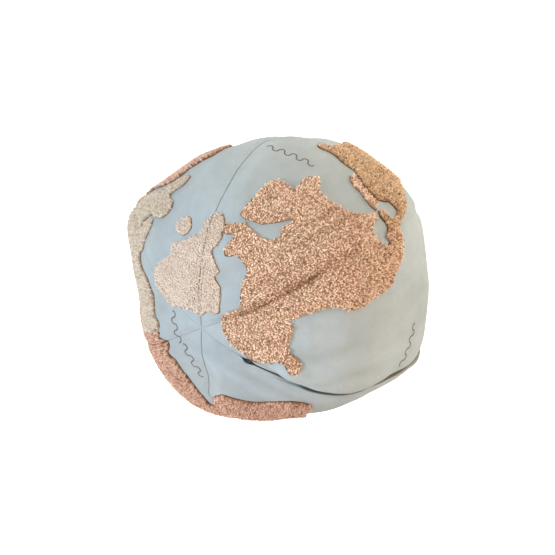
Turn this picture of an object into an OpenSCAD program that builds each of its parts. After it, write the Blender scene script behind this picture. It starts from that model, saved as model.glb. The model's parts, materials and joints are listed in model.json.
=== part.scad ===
// Stuffed fabric globe cushion: a washable six-gore cover with tufted land,
// a concealed zip in one seam, and a loose inner cushion filled with fibre.
// The north pole is up. The origin is on the floor, at the middle of the flattened base.

/* [Ball] */
// Radius of the filled cover at its seams
ball_r = 200; // [196:1:206]
// Height of the ball's centre above the floor, which sets the flattened base
centre_h = 186; // [180:1:190]
// Thickness of the cover's canvas
canvas_t = 1.5; // [1.2:0.1:1.8]
// Width of the seam allowance folded inside each gore edge
allowance_w = 10; // [8:1:12]

/* [Tufting] */
// Height of the looped pile above the canvas
pile_h = 8; // [5:0.5:9]

/* [Embroidery] */
// Radius of one scallop of a stitched wave
scallop_r = 4.2; // [3:0.2:5]
// Thickness of the stitched cord
cord_d = 1.2; // [0.8:0.1:1.4]

/* [Inner cushion] */
// Thickness of the inner case's calico
case_t = 1; // [0.8:0.1:1.2]
// Loose room between the cover's allowances and the inner case
case_gap = 0.2; // [0.2:0.1:0.4]

/* [Zip] */
// Width of the slit that the slider's neck runs in
slit_w = 3; // [2.6:0.1:3.4]
// Latitude of the slit's upper end
slit_top = 72; // [70:1:74]
// Latitude of the slit's lower end
slit_foot = -42; // [-43:1:-41]
// Latitude of the slider when the zip is shut
shut_lat = -38; // [-38:1:-36]
// Length of the pull tab below its pin
tab_len = 24; // [18:1:26]
// Radius of the pin that carries the pull tab
pin_r = 0.8; // [0.7:0.05:0.9]
// Running clearance round the pin
pin_play = 0.06; // [0.04:0.01:0.08]

/* [Hidden] */
$fn = 96;
GORES = 6;
GORE_DEG = 360 / GORES;
ZIP_LON = -155;                     // longitude of the zipped seam
LON_TO_AZ = 180 - ZIP_LON;          // turns longitude so that the zipped seam faces -X
REACH = 2 * ball_r;                 // larger than anything that a wedge or slab has to cut
canvas_in = ball_r - canvas_t;
hem_in = canvas_in - canvas_t;      // underside of the folded allowances
case_depth = 2 * canvas_t + case_gap;

CANVAS = "#b9c3c9";
AMERICA = "#c69c7c";
CREAM = "#d9cabb";
AFRICA = "#c98f77";
ASIA = "#bd8c77";
OCEANIA = "#cfae86";
THREAD = "#77695e";
CALICO = "#ece7db";
FIBRE = "#f6f5f1";
TAPE = "#a9b5ba";
METAL = "#b4afa6";

// Radial stack of the zip, measured down from the hems
tape_t = 0.8;
coil_deep = [hem_in - 4, hem_in - 2];           // radii of the coils
tape_deep = [hem_in - 3.4, hem_in - 2.6];       // radii of the tape beside the coils
plate_top = [hem_in - 1.6, hem_in - 0.6];       // radii of the slider's upper plate
plate_low = [hem_in - 5.4, hem_in - 4.4];       // radii of the slider's lower plate
guard_deep = [hem_in - 6.4, hem_in - 5.8];      // radii of the guard strip behind the zip
channel_floor = guard_deep[0] - 0.2;            // radius of the inner case behind the zip
coil_side = [0.6, 2.7];                         // how far each coil lies from the seam plane
slider_half_w = 4.4;
slider_half_deg = 1.7;
tape_half_w = 15;
channel_half_w = 16;
open_lat = 62;                                  // latitude of the slider when the zip is open
pin_at = ball_r + 3.2;                          // radius of the pull tab's pin

// ---- outlines of the land, as [longitude, latitude] in degrees -------------------------------
// Each lies inside one gore, and reaches a little past a seam wherever the pile meets that seam.

NORTH_AMERICA_WEST = [
    [-93, 80.3], [-102, 80.8], [-113, 81.3], [-126, 80.5], [-136, 79], [-143, 76.8], [-146, 74],
    [-149.5, 71.3], [-152, 69], [-151, 66.5], [-147.5, 63.5], [-144, 60.5], [-143, 58.3],
    [-146, 56.5], [-147.8, 55], [-147.3, 53.2], [-145, 52], [-142.5, 52], [-140, 53.5],
    [-138.3, 55.8], [-136.5, 57.5], [-132.5, 58.2], [-127.5, 57.8], [-123.5, 57.2],
    [-119.5, 56.5], [-116, 57.3], [-112.8, 57.5], [-112, 53], [-111.5, 48], [-111, 42], [-113, 38.5],
    [-115.5, 35], [-116.5, 31.5], [-116, 27], [-114.5, 22], [-113.5, 17], [-112, 13], [-109.5, 11.5],
    [-107.5, 8], [-104.5, 5], [-101, 2.5], [-97, 0.5], [-93, -1.5], [-93, 7], [-98, 7.5],
    [-98.5, 10.5], [-97, 13], [-93, 14.3], [-86, 16], [-84, 35], [-84, 55], [-86, 72],
];
NORTH_AMERICA_EAST = [
    [-97, 80.5], [-94, 79], [-93, 76.5], [-94, 74], [-93, 71.8], [-88, 70.5], [-82, 69.5],
    [-77, 67.5], [-74, 66], [-72.5, 64], [-70, 61.8], [-66, 60.5], [-60, 59.7], [-55, 59.3],
    [-52.5, 61], [-49, 61.5], [-46.5, 59.5], [-48, 56.5], [-49.5, 54.5], [-48, 53.2], [-44.5, 54.2],
    [-41, 54], [-41, 51.5], [-45, 50.2], [-50, 48.5], [-56, 49.5], [-61, 50], [-65.5, 49.5],
    [-68.5, 47.5], [-70.5, 45.2], [-68.5, 43.5], [-67, 41.5], [-68, 38.5], [-69, 35.5], [-66.5, 37.5],
    [-64, 40.5], [-61, 43], [-58, 45], [-53.5, 45.8], [-49.5, 46.5], [-46, 46], [-46, 43.5],
    [-47, 40], [-48, 36], [-48.5, 31.5], [-49.5, 28], [-52.5, 26.5], [-56, 26.5], [-58.5, 27.5],
    [-59.5, 24], [-58.8, 20.5], [-60, 17.5], [-62.3, 15.5], [-64.5, 17.3], [-66.5, 20.3],
    [-70.3, 20.8], [-75.3, 19.7], [-80, 18], [-83.5, 14.2], [-85.3, 10.8], [-86.5, 9], [-88, 9.5],
    [-88.7, 12.5], [-91, 14.3], [-99, 14], [-101, 35], [-102, 55], [-103, 70],
];
SOUTH_AMERICA = [
    [-97, 7.3], [-92, 6.5], [-88, 7], [-86.5, 6], [-88.5, 4.6], [-91.3, 3.8], [-92.3, 1.5],
    [-92, -2], [-90.5, -4.7], [-88, -4.6], [-85.5, -4], [-84, -1], [-82.5, 1.2], [-79, 1.5],
    [-76, 1], [-73.5, -0.5], [-70.5, -2], [-68, -3.4], [-65.5, -2.4], [-62, -2], [-59, -2.8],
    [-55.5, -2.5], [-52.5, -1], [-50.8, -2.3], [-53, -5], [-54.5, -9], [-54.5, -16], [-53, -22],
    [-52, -28], [-54, -36], [-58, -42], [-62, -49], [-66, -56], [-70, -59], [-75, -56],
    [-77.5, -47], [-79, -37], [-80, -27], [-85, -19], [-90, -13], [-92.3, -8], [-93.2, -4],
    [-94.4, -1], [-97, 0.4],
];
CARIBBEAN = [
    [-85.5, 6.8], [-83.3, 7.3], [-79.2, 6.3], [-76.5, 5.3], [-73.5, 5], [-70.8, 4], [-69.2, 2],
    [-70, 0.3], [-72.3, 0.8], [-75.5, 2.4], [-79.5, 2.9], [-82.3, 3.2], [-84.5, 5],
];
GREENLAND_WEST = [
    [-81, 79.5], [-74, 78.3], [-68, 76.5], [-62, 74.5], [-58, 72.3], [-50, 71], [-46.5, 70],
    [-48.5, 68.5], [-49.5, 67.3], [-45, 66], [-41.5, 64.3], [-38, 62.5], [-37.3, 61], [-39.5, 58.5],
    [-41.5, 55.5], [-40, 54], [-39.5, 50.5], [-37.5, 48.2], [-33, 47.3], [-33, 85], [-42, 84.7],
    [-50, 83.5], [-57, 82.6], [-66, 81.4], [-76, 81],
];
GREENLAND_EAST = [
    [-37, 47.3], [-31, 48], [-28.8, 50.5], [-28, 54], [-24.5, 56], [-18, 57], [-9, 57.2],
    [-1.5, 56.7], [0, 60], [8, 60.6], [16, 61], [27, 62.5], [27, 77.5], [18, 80], [8, 81.5],
    [-4, 82.3], [-15, 83.8], [-26, 84.8], [-37, 85],
];
GREENLAND_TIP = [[23, 62], [26.5, 64], [28.3, 69], [30, 74], [28.3, 76.8], [23, 78.7]];
ICELAND = [
    [-17.3, 51.5], [-17.5, 53.3], [-15.3, 54.8], [-11.8, 55.2], [-8.3, 54], [-6, 51.9], [-7, 49.8],
    [-10.5, 48.5], [-14.2, 48.3], [-16.6, 49.4],
];
WESTERN_EUROPE = [
    [-7.3, 26.6], [-6.2, 29], [-4, 30.6], [-1.5, 30.8], [1, 31.3], [3, 32.2], [2.7, 34.5],
    [0.5, 36.7], [-0.8, 38.2], [-0.3, 40.5], [2, 42.3], [5.2, 43], [7.5, 42], [10.5, 40], [12, 37],
    [15, 36.3], [20.5, 35], [27, 35.5], [27, 20], [21.5, 21], [17.5, 22.5], [14, 24.5],
    [11, 26.5], [6.5, 27], [2.5, 26], [-2, 25], [-5.5, 25.4],
];
SCANDINAVIA = [
    [12.3, 40.3], [14, 42.5], [17, 44.8], [21.5, 46.3], [27, 47.3], [27, 38.3], [21, 38.2],
    [16, 38.8],
];
EASTERN_EUROPE = [
    [23, 46.8], [27.5, 47.5], [30, 51], [31.5, 55.5], [32, 59.5], [35, 62], [39.5, 65],
    [46, 65.5], [53, 65.8], [60, 66.3], [64, 68.5], [68.5, 68.8], [72, 67.3], [74.5, 63],
    [76, 57], [76.5, 50], [76.5, 41], [74, 35], [68, 31.5], [61, 30], [54, 29], [48, 27.5],
    [43, 26], [38, 24], [33, 22], [28, 21], [22, 20.5], [18, 33],
];
AFRICA_WEST = [
    [-17, 10], [-17.8, 14], [-15, 16.5], [-10.5, 17], [-6.5, 18.3], [-3, 18.8], [-1, 21],
    [2, 22.3], [5.5, 22.5], [9.5, 21.8], [13, 20], [16, 17.5], [19, 14.5], [27, 13], [33, 10],
    [36, 0], [36, -22], [31, -43], [20, -45], [17.5, -42], [15, -36], [12, -28], [13.5, -19],
    [10, -11], [9, -5], [3, -3], [-3, -4], [-8, -5], [-13, -1], [-15.5, 4],
];
AFRICA_EAST = [
    [23, 13.5], [30, 13], [34, 12], [36, 9], [38.5, 5], [43, 2], [50, 2.5], [48, -4],
    [43, -11], [40, -16], [41, -23], [36, -29], [35.5, -33], [32, -38], [27, -43], [20, -44],
    [15, -25], [14, -8], [15, 4], [18, 12],
];
MADAGASCAR = [[50, -20], [52, -24], [50.5, -30], [48, -34.5], [45, -32.5], [45.5, -26.5], [48, -23]];
WESTERN_ASIA = [
    [74.5, 68.2], [80, 66.8], [83.5, 68.7], [87, 71], [93, 60], [96, 45], [96, 28], [92, 12],
    [83.5, 8], [80.5, 1], [78, -4], [75.5, -1], [73.5, 8], [71, 13], [66, 16], [60, 16.5],
    [56, 17], [59, 12], [55, 7], [48, 5], [43, 7], [40, 11], [37.5, 15], [37.5, 19],
    [42, 22], [48, 24.5], [55, 26.5], [62, 27.5], [69, 29], [76, 33], [78.8, 41], [78.8, 50],
    [78.4, 57], [77.2, 63],
];
CENTRAL_ASIA = [
    [83, 68.5], [86, 71.3], [90, 71.3], [93.5, 70], [94.5, 68], [100, 68], [106, 68.4], [111, 67.2],
    [117, 65.3], [123, 63.7], [128, 61.3], [131.5, 58.8], [134.5, 56.3], [137, 53], [138.5, 50.5],
    [147, 51], [147, 21], [142, 15], [137, 10], [131, 8], [127.5, 9.5], [126.5, 3], [122.5, -2],
    [118.5, 1.5], [116.5, -4], [113, -10], [111, -8], [112, 0], [108.5, 6], [104, 10.5], [98, 14],
    [93.5, 16], [90, 13.5], [83, 9], [76, 18], [73, 35], [74, 50], [77, 61],
];
FAR_EAST = [
    [143, 57.2], [148, 59.7], [154, 60.7], [159, 59.2], [164.5, 57], [169, 54.5], [174, 52.2],
    [180, 50.6], [186, 49.3], [190, 46.3], [192.3, 42.5], [192.8, 39.5], [190.5, 37], [186, 36],
    [182, 33], [178, 29], [172, 26], [165, 24], [158.5, 20.5], [153, 18.5], [149.5, 19],
    [143, 18],
];
JAPAN = [
    [168, 3], [169.5, 6.5], [173, 10], [175, 15], [178.2, 16], [178, 12.5], [175.5, 7.5],
    [172, 3.5],
];
SUMATRA = [
    [103.5, -7.5], [106.5, -8.5], [111, -13], [116, -17], [123, -18], [130, -19.5], [130, -21.5],
    [121, -20.8], [113, -18.8], [107.5, -14],
];
BORNEO = [[118, -8.5], [122, -4], [126.5, -5.5], [127.5, -10], [124.5, -14.5], [119.5, -13.5]];
NEW_GUINEA = [
    [148, -11.5], [152.5, -12.5], [157, -11.5], [163, -14.5], [168, -19], [162.5, -18.5], [157, -19],
    [152.5, -15.5],
];
AUSTRALIA_WEST = [
    [117, -32], [120.5, -28.5], [125.5, -25.5], [130.5, -22.5], [135, -21], [138.5, -22.5],
    [141, -26], [147, -22.5], [147, -45.5], [142.5, -43], [138.5, -40.5], [132, -40.5],
    [126, -42.5], [120.5, -43], [117.5, -40], [116, -36],
];
AUSTRALIA_EAST = [
    [143, -24], [147, -20.5], [149.5, -23.5], [153, -26], [157.5, -30.5], [160.5, -35],
    [160, -39.5], [156.5, -44], [151.5, -46.5], [147, -45.5], [143, -43.5],
];
NEW_ZEALAND = [
    [176, -41.5], [178, -44], [181.5, -45.5], [180, -48], [176.5, -51], [172, -54], [170, -53],
    [173.5, -49.5], [176, -46],
];

// ---- placing things on the ball --------------------------------------------------------------

function azimuth(lon) = lon + LON_TO_AZ;
function seam_lon(gore) = ZIP_LON + GORE_DEG * (gore - 1);
function middle_lon(gore) = seam_lon(gore) + GORE_DEG / 2;
function on_path(point, r) = [-r * cos(point), 0, centre_h + r * sin(point)];

// A direction in degrees, seen square-on from above [lon0, lat0], in mm at radius r
function square_on(point, lon0, lat0, r) = [
    r * cos(point[1]) * sin(point[0] - lon0),
    r * (cos(lat0) * sin(point[1]) - sin(lat0) * cos(point[1]) * cos(point[0] - lon0)),
];
function mean(values) = sum(values) / len(values);
function sum(values, i = 0) = i < len(values) ? values[i] + sum(values, i + 1) : 0;

// Stands children on the ball at a longitude and latitude: their +Z points outwards, +Y north
module stand_at(lon, lat, r) {
    translate([0, 0, centre_h])
        rotate([0, 90 - lat, azimuth(lon)])
            translate([0, 0, r])
                rotate([0, 0, 90])
                    children();
}

// Sweeps a profile of [radius, distance from the seam plane] along the zipped seam
module along_zip(lat_from, lat_to) {
    translate([0, 0, centre_h])
        rotate([90, 0, 180])
            rotate([0, 0, lat_from])
                rotate_extrude(angle = lat_to - lat_from)
                    children();
}

module ring_block(lat_from, lat_to, radii, sides) {
    along_zip(lat_from, lat_to)
        translate([radii[0], sides[0]])
            square([radii[1] - radii[0], sides[1] - sides[0]]);
}

// The ball with its flattened base, taken in by depth all over
module ball(depth) {
    intersection() {
        translate([0, 0, centre_h]) sphere(r = ball_r - depth);
        translate([-REACH, -REACH, depth]) cube(2 * REACH);
    }
}

// The sixth of space between one gore's two seams
module wedge(gore) {
    rotate([0, 0, azimuth(seam_lon(gore))])
        translate([0, 0, -REACH])
            linear_extrude(height = 2 * REACH)
                polygon([
                    [0, 0], [REACH, 0],
                    [REACH * cos(GORE_DEG), REACH * sin(GORE_DEG)],
                ]);
}

// Slabs along both seams of a gore, as wide as its allowances
module seam_slabs(gore) {
    rotate([0, 0, azimuth(seam_lon(gore))])
        translate([0, 0, -REACH]) cube([REACH, allowance_w, 2 * REACH]);
    rotate([0, 0, azimuth(seam_lon(gore) + GORE_DEG)])
        translate([0, -allowance_w, -REACH]) cube([REACH, allowance_w, 2 * REACH]);
}

// ---- cover -----------------------------------------------------------------------------------

module zip_slit() {
    sector = [for (i = [0 : 4]) slit_foot + (slit_top - slit_foot) * i / 4];
    translate([0, slit_w / 2, 0])
        rotate([90, 0, 0])
            linear_extrude(height = slit_w)
                polygon(concat([[0, centre_h]],
                    [for (lat = sector) [on_path(lat, REACH)[0], on_path(lat, REACH)[2]]]));
}

module cover_gore(gore) {
    color(CANVAS) intersection() {
        union() {
            difference() { ball(0); ball(canvas_t); }
            intersection() {
                difference() { ball(canvas_t); ball(2 * canvas_t); }
                seam_slabs(gore);
            }
        }
        difference() {
            wedge(gore);
            if (gore == 1 || gore == GORES) zip_slit();
        }
    }
}

// Looped pile on one gore: a raised shell cut to an outline
module pile(outline, gore, tint) {
    lon0 = middle_lon(gore);
    lat0 = mean([for (p = outline) p[1]]);
    color(tint) intersection() {
        difference() {
            translate([0, 0, centre_h]) sphere(r = ball_r + pile_h);
            translate([0, 0, centre_h]) sphere(r = ball_r);
        }
        wedge(gore);
        stand_at(lon0, lat0, 0)
            linear_extrude(height = REACH)
                polygon([for (p = outline) square_on(p, lon0, lat0, ball_r)]);
    }
}

// A stitched wave: scallops turned up and down by turns, along a heading on the ball
module stitched_wave(lon, lat, heading, scallops) {
    step = 2 * scallop_r / ball_r * 180 / PI;
    for (i = [0 : scallops - 1])
        translate([0, 0, centre_h])
            rotate([0, 90 - lat, azimuth(lon)])
                rotate([0, 0, heading])
                    rotate([(i - (scallops - 1) / 2) * step, 0, 0])
                        translate([0, 0, ball_r + cord_d / 2 + 0.05])
                            rotate([0, 0, i % 2 == 0 ? -90 : 90])
                                rotate_extrude(angle = 180)
                                    translate([scallop_r, 0]) circle(d = cord_d, $fn = 24);
}

module arctic_wave_stitching() {
    color(THREAD) {
        stitched_wave(66, 78.3, 4, 5);
        stitched_wave(127, 74.8, -45, 6);
    }
}

module atlantic_wave_stitching() {
    color(THREAD) {
        stitched_wave(-47.5, 12.4, 6, 8);
        stitched_wave(-22, -18, 0, 8);
    }
}

module pacific_wave_stitching() {
    color(THREAD) {
        stitched_wave(-142.5, -1.5, -20, 7);
        stitched_wave(180, -6, 0, 8);
    }
}

module indian_wave_stitching() {
    color(THREAD) stitched_wave(72, -22, 0, 8);
}

// ---- inner cushion ---------------------------------------------------------------------------

// Room behind the zip, which the inner cushion gives way to
module zip_room(extra) {
    edge_deg = extra / ball_r * 180 / PI;
    ring_block(slit_foot - 4 - edge_deg, slit_top + 2 + edge_deg,
        [channel_floor - extra, REACH], [-channel_half_w - extra, channel_half_w + extra]);
}

module cushion(depth, extra) {
    difference() { ball(depth); zip_room(extra); }
}

module inner_case_gore(gore) {
    color(CALICO) intersection() {
        difference() {
            cushion(case_depth, 0);
            cushion(case_depth + case_t, case_t);
        }
        wedge(gore);
    }
}

module fibre_filling() {
    slack = 0.1;
    color(FIBRE) cushion(case_depth + case_t + slack, case_t + slack);
}

// ---- zip -------------------------------------------------------------------------------------

// side is 1 or -1. The tape steps down from the hem to the coil
module zip_tape(side) {
    color(TAPE) along_zip(slit_foot - 2, open_lat + 6)
        polygon([for (p = [
            [tape_deep[0], coil_side[1]], [tape_deep[1], coil_side[1]], [tape_deep[1], 5.2],
            [hem_in - 0.2, 7], [hem_in - 0.3, 10], [hem_in - 0.6, tape_half_w],
            [hem_in - 0.6 - tape_t, tape_half_w], [hem_in - 0.3 - tape_t, 10],
            [hem_in - 0.2 - tape_t, 7.4], [tape_deep[0], 5.6],
        ]) [p[0], side * p[1]]]);
}

// A cord with teeth that point at the seam plane
module zip_coil(side) {
    tooth_root = 1.9;
    pitch = 1.4;
    first = slit_foot + 1.1;
    last = open_lat + 2.4;
    color(TAPE) {
        ring_block(first, last, coil_deep,
            side > 0 ? [tooth_root, coil_side[1]] : [-coil_side[1], -tooth_root]);
        for (lat = [first : pitch : last - 1])
            ring_block(lat, lat + pitch / 2, [coil_deep[0] + 0.3, coil_deep[1] - 0.3],
                side > 0 ? [coil_side[0], tooth_root + 0.3] : [-tooth_root - 0.3, -coil_side[0]]);
    }
}

module zip_stop(lat) {
    color(METAL) ring_block(lat, lat + 0.9, coil_deep, [-coil_side[1], coil_side[1]]);
}

module zip_guard_strip() {
    color(TAPE) ring_block(slit_foot - 2, open_lat + 6, guard_deep, [-12, 12]);
}

module zip_slider() {
    from = shut_lat - slider_half_deg;
    to = shut_lat + slider_half_deg;
    neck_half = 0.7;
    bite = 0.4;
    color(METAL) {
        ring_block(from, to, plate_top, [-slider_half_w, slider_half_w]);
        ring_block(from, to, plate_low, [-slider_half_w, slider_half_w]);
        for (side = [-1, 1]) {
            flange = side > 0 ? [3.3, slider_half_w] : [-slider_half_w, -3.3];
            ring_block(from, to, [tape_deep[1] + 0.4, plate_top[0] + bite], flange);
            ring_block(from, to, [plate_low[1] - bite, tape_deep[0] - 0.4], flange);
        }
        ring_block(shut_lat - 0.5, shut_lat + 0.5, [plate_low[1] - bite, plate_top[0] + bite],
            [-0.3, 0.3]);
        ring_block(shut_lat - 0.5, shut_lat + 0.5, [plate_top[1] - bite, pin_at + 1.4],
            [-neck_half, neck_half]);
        translate(on_path(shut_lat, pin_at))
            rotate([90, 0, 0]) cylinder(r = pin_r, h = 5.2, center = true);
    }
}

// The pull tab hangs straight down from its pin
module zip_pull_tab() {
    ear = [0.95, 2.35];
    ear_r = 2;
    blade_t = 1.4;
    blade_top = -2.9;
    blade_half_w = 3.5;
    color(METAL) translate(on_path(shut_lat, pin_at)) {
        for (side = [-1, 1])
            translate([0, side * (ear[0] + ear[1]) / 2, 0])
                difference() {
                    union() {
                        rotate([90, 0, 0]) cylinder(r = ear_r, h = ear[1] - ear[0], center = true);
                        translate([-blade_t / 2, -(ear[1] - ear[0]) / 2, blade_top - 1])
                            cube([blade_t, ear[1] - ear[0], -blade_top]);
                    }
                    rotate([90, 0, 0]) cylinder(r = pin_r + pin_play, h = 4, center = true);
                }
        rotate([0, -90, 0])
            translate([0, 0, -blade_t / 2])
                linear_extrude(height = blade_t)
                    union() {
                        polygon([
                            [blade_top, ear[1]], [blade_top, -ear[1]],
                            [-tab_len + blade_half_w, -blade_half_w],
                            [-tab_len + blade_half_w, blade_half_w],
                        ]);
                        translate([-tab_len + blade_half_w, 0]) circle(r = blade_half_w);
                    }
    }
}

// ---- nodes -----------------------------------------------------------------------------------

cover_gore(1);  // cover_gore_1
cover_gore(2);  // cover_gore_2
cover_gore(3);  // cover_gore_3
cover_gore(4);  // cover_gore_4
cover_gore(5);  // cover_gore_5
cover_gore(6);  // cover_gore_6
pile(NORTH_AMERICA_WEST, 1, AMERICA);  // north_america_west_pile
pile(NORTH_AMERICA_EAST, 2, AMERICA);  // north_america_east_pile
pile(SOUTH_AMERICA, 2, AMERICA);  // south_america_pile
pile(CARIBBEAN, 2, AMERICA);  // caribbean_pile
pile(GREENLAND_WEST, 2, CREAM);  // greenland_west_pile
pile(GREENLAND_EAST, 3, CREAM);  // greenland_east_pile
pile(GREENLAND_TIP, 4, CREAM);  // greenland_tip_pile
pile(ICELAND, 3, CREAM);  // iceland_pile
pile(WESTERN_EUROPE, 3, CREAM);  // western_europe_pile
pile(SCANDINAVIA, 3, CREAM);  // scandinavia_pile
pile(EASTERN_EUROPE, 4, CREAM);  // eastern_europe_pile
pile(AFRICA_WEST, 3, AFRICA);  // africa_west_pile
pile(AFRICA_EAST, 4, AFRICA);  // africa_east_pile
pile(MADAGASCAR, 4, AFRICA);  // madagascar_pile
pile(WESTERN_ASIA, 4, ASIA);  // western_asia_pile
pile(CENTRAL_ASIA, 5, ASIA);  // central_asia_pile
pile(FAR_EAST, 6, ASIA);  // far_east_pile
pile(JAPAN, 6, ASIA);  // japan_pile
pile(SUMATRA, 5, OCEANIA);  // sumatra_pile
pile(BORNEO, 5, OCEANIA);  // borneo_pile
pile(NEW_GUINEA, 6, OCEANIA);  // new_guinea_pile
pile(AUSTRALIA_WEST, 5, OCEANIA);  // australia_west_pile
pile(AUSTRALIA_EAST, 6, OCEANIA);  // australia_east_pile
pile(NEW_ZEALAND, 6, OCEANIA);  // new_zealand_pile
arctic_wave_stitching();
atlantic_wave_stitching();
pacific_wave_stitching();
indian_wave_stitching();
inner_case_gore(1);  // inner_case_gore_1
inner_case_gore(2);  // inner_case_gore_2
inner_case_gore(3);  // inner_case_gore_3
inner_case_gore(4);  // inner_case_gore_4
inner_case_gore(5);  // inner_case_gore_5
inner_case_gore(6);  // inner_case_gore_6
fibre_filling();
zip_tape(-1);  // zip_tape_left
zip_tape(1);  // zip_tape_right
zip_coil(-1);  // zip_coil_left
zip_coil(1);  // zip_coil_right
zip_stop(open_lat + 2.5);  // zip_top_stop
zip_stop(slit_foot);  // zip_bottom_stop
zip_guard_strip();
zip_slider();
zip_pull_tab();
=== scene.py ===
"""A stuffed globe cushion: six canvas gores, tufted land, stitched waves and a concealed zip.

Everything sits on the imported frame. Longitude and latitude are the globe's own, in degrees, and
lengths are in metres. The land's outlines are the CAD patches': rays from the ball's centre find them.
"""
import json
import math

import bmesh
import bpy
import numpy as np
from mathutils import Matrix, Vector
from mathutils.bvhtree import BVHTree


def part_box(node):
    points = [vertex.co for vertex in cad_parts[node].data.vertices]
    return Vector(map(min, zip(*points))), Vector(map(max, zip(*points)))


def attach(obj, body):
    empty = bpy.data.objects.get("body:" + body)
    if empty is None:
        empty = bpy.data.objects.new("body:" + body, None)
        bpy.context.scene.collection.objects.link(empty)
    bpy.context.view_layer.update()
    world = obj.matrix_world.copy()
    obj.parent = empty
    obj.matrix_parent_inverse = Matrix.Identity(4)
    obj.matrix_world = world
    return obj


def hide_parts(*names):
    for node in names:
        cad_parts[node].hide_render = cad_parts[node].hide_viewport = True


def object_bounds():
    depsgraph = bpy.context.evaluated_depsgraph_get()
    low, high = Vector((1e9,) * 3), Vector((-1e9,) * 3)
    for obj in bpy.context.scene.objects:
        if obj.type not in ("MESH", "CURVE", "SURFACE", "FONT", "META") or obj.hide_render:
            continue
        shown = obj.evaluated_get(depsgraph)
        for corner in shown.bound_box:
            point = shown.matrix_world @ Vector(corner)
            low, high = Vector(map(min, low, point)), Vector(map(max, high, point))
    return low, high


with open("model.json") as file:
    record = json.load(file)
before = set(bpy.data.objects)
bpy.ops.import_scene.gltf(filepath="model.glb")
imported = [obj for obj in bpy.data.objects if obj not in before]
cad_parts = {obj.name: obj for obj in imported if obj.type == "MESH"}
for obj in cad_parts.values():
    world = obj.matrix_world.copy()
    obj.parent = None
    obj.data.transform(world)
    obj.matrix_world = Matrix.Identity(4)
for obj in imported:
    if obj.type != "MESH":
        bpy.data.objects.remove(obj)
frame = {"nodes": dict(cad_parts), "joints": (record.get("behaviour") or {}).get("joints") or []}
cad_low, cad_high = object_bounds()
MM = 0.001
JOINTS = {joint["name"]: joint for joint in frame["joints"]}

# ---- the ball ------------------------------------------------------------------------------------

CENTRE = np.array(JOINTS["zip_run"]["pos_m"])
BALL_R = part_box("cover_gore_1")[1][2] - CENTRE[2]
PILE_H = cad_high[0] - CENTRE[0] - BALL_R
ZIP_LON = -155.0                        # the zipped seam, which faces -X
LON_TO_AZIMUTH = 180.0 - ZIP_LON
GORES = 6
GORE_DEG = 360.0 / GORES
SLIT_LATS = (-42.0, 72.0)               # the ends of the zipped slit

GORE_FLAT = 9 * MM                      # how far a gore's middle lies inside the round ball
SEAM_DIP = 2.4 * MM                     # how deep the stitching pulls a seam in
SEAM_DIP_WIDTH = 6 * MM
SEAM_HOLLOW = 1.2 * MM                  # depth of the broad hollow that a seam lies in
SEAM_HOLLOW_WIDTH = 22 * MM
POLE_DIP = 2 * MM                       # how deep the gores' gathered points pull the pole in
POLE_DIP_REACH = 4.0                    # degrees
EDGE_ROLL = 1.1 * MM                    # radius of the rolled edge of a folded gore
FAR_SIDE = 1.0                          # the distance given for the far half of the ball

# Unevenness of the cloth: height, wavelength, seed
UNEVEN = [
    (0.8 * MM, 0.12, 3),
    (0.25 * MM, 0.045, 4),
]

# The slit. Each lip's height is given at the latitudes in LIP_LATS.
SLIT_GAP = 1.5 * MM                     # half the slit's width along most of the zip
SLIT_NARROWS = (40, 56)                 # between these latitudes it narrows to half of that
SLIT_WEDGE = 2.7 * MM                   # how much wider the slit's upper end gapes
SLIT_WEDGE_LAT = 69.5
SLIT_WEDGE_REACH = 1.7                  # degrees
TAB_ROOM = 3.9 * MM                     # half the room that the pull tab needs between the lips
ZIP_LIFT = 0.3 * MM                     # how far outside the round ball the zip's tapes hold the cloth
LIP_LATS = (-30, -24, -18, -12, -4, 6, 14, 30, 45)
EAST_LIP = np.array((1, 0, 0, 1, 1.8, 2.6, 5, 9, 10)) * MM
WEST_LIP = np.array((12, 13, 9.5, 4, 3.4, 2.8, 1.5, 2.5, 2)) * MM
LIP_WALL = 1.2 * MM                     # how far from the tab's room a lip reaches its height
LIP_CREST = 8 * MM                      # distance of a lip's crest from the seam
LIP_WIDTH = 13 * MM

# The long crease across North America, along seam 1, and the ridge east of it
CREASE_LATS = (50, 71)
CREASE = 7.5 * MM                       # its depth
CREASE_EAST, CREASE_WEST = 5 * MM, 10 * MM  # width of the slope on each side
RIDGE = 3 * MM
RIDGE_EAST, RIDGE_WIDTH = 12 * MM, 9 * MM

# How far each seam strays from its meridian: latitude, degrees east
SEAM_SWAY = {
    1: ((36, 0), (50, -2), (72, -6), (86, -4)),
    2: ((-10, 0), (10, 1.5), (38, 2.5), (50, 4), (75, 4.5), (86, 4)),
    5: ((46, 0), (58, -5), (70, 2), (84, 0)),
}

# How flat a seam is pulled, from 0 to 1: latitudes, shares
PULLED_FLAT = {
    0: ((72, 76), (0, 0.7)),
    1: ((36, 44, 74, 80), (1, 0, 0, 0.7)),
    3: ((20, 35), (0, 1)),
    4: ((60, 76), (0, 0.7)),
}

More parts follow.
